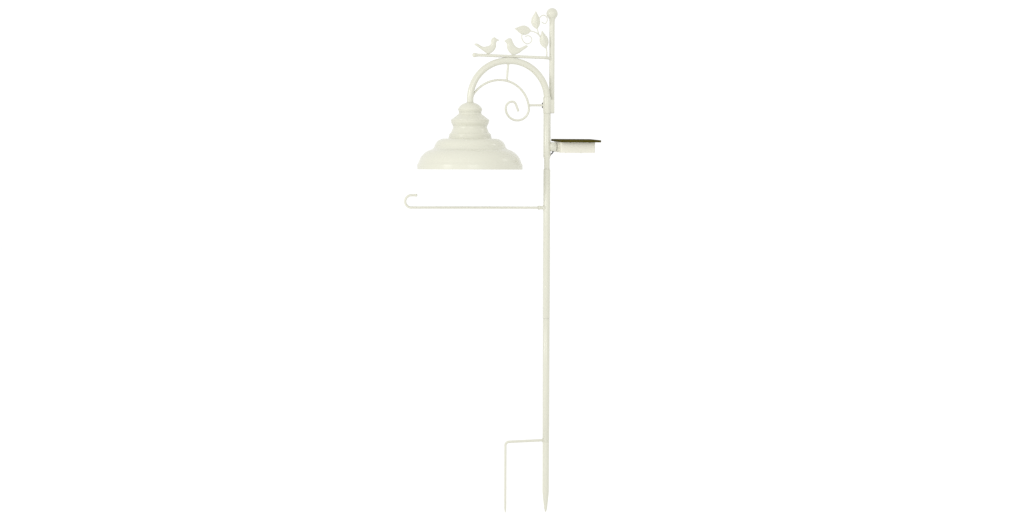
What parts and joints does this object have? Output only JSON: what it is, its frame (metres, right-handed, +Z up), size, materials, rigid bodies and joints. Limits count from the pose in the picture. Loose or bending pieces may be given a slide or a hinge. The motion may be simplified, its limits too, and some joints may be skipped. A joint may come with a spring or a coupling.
{
  "type": "solar lamp post with feeder hook",
  "caption": "Cream garden lamp post with a bell shade on an arch, a bird and leaf topper, a tilting solar box, a feeder hook arm and a stepped ground stake.",
  "frame": {"origin": "on the pole axis at the seam between ground stake and lower pole, at ground level", "axes": "+Z up the pole, +X towards the solar box, -Y towards the front"},
  "size_m": [0.5985, 0.318, 1.5289],
  "materials": {
    "enamel": "gloss cream enamel",
    "rubber": "black rubber",
    "lead": "black cable sheath",
    "steel": "zinc plated",
    "black_screw": "black screw heads",
    "board": "green circuit board",
    "lens": "frosted diffuser",
    "housing": "cream moulded",
    "box_plastic": "cream moulded",
    "frame_plastic": "dark brown moulded",
    "cells": "dark cells under clear resin",
    "battery": "wrapped cell",
    "black_plastic": "black moulded"
  },
  "bodies": {
    "ground_section": {"ground_stake": "enamel", "lower_pole": "enamel", "step_prong": "enamel"},
    "middle_section": {"middle_pole": "enamel", "hook_boss": "enamel", "boss_washer": "enamel"},
    "hook": {"hook_arm": "enamel"},
    "top_section": {"top_pole": "enamel", "solar_knuckle": "enamel", "pivot_stud": "steel", "pivot_washer": "rubber", "pivot_nut": "steel", "lead_grommets": "rubber", "panel_lead": "lead"},
    "head": {"joint_sleeve": "enamel", "arch_tube": "enamel", "arch_scroll": "enamel", "scroll_strut": "enamel", "sleeve_strut": "enamel", "strut_saddle": "enamel", "saddle_screws": "black_screw", "topper_post": "enamel", "finial_ball": "enamel", "topper_bracket": "enamel", "bracket_screws": "enamel", "perch_bar": "enamel", "perch_tip": "enamel", "bird_left": "enamel", "bird_right": "enamel", "vine_stem": "enamel", "vine_branch": "enamel", "leaf_top": "enamel", "leaf_left": "enamel", "leaf_right": "enamel", "tendril_upper": "enamel", "tendril_lower": "enamel", "stem_plug": "steel", "lamp_stem": "steel", "shade_cap": "enamel", "shade_gallery": "enamel", "shade_bowl": "enamel", "stem_nut": "steel", "led_housing": "housing", "housing_nut": "steel", "led_board": "board", "led_lens": "lens", "lamp_lead": "lead"},
    "solar_unit": {"solar_box": "box_plastic", "panel_frame": "frame_plastic", "solar_cells": "cells", "box_screws": "steel", "battery_door": "box_plastic", "door_screws": "steel", "battery": "battery", "circuit_board": "board", "switch_body": "black_plastic", "battery_lead": "lead"},
    "switch": {"switch_knob": "black_plastic"}
  },
  "joints": [
    {"name": "middle_section_turn", "type": "hinge", "parent": "ground_section", "child": "middle_section", "pos_m": [0, 0, 0.374], "axis": [0, 0, 1], "continuous": true},
    {"name": "hook_turn", "type": "hinge", "parent": "middle_section", "child": "hook", "pos_m": [-0.026, 0, 0.7105], "axis": [1, 0, 0], "range_deg": [-90, 90]},
    {"name": "top_section_turn", "type": "hinge", "parent": "middle_section", "child": "top_section", "pos_m": [0, 0, 0.827], "axis": [0, 0, 1], "continuous": true},
    {"name": "head_turn", "type": "hinge", "parent": "top_section", "child": "head", "pos_m": [0, 0, 0.997], "axis": [0, 0, 1], "range_deg": [-90, 90]},
    {"name": "solar_tilt", "type": "hinge", "parent": "top_section", "child": "solar_unit", "pos_m": [0.0297, 0, 0.8954], "axis": [1, 0, 0], "range_deg": [-50, 50]},
    {"name": "switch_slide", "type": "slide", "parent": "solar_unit", "child": "switch", "axis": [1, 0, 0], "range_m": [0, 0.004]}
  ]
}
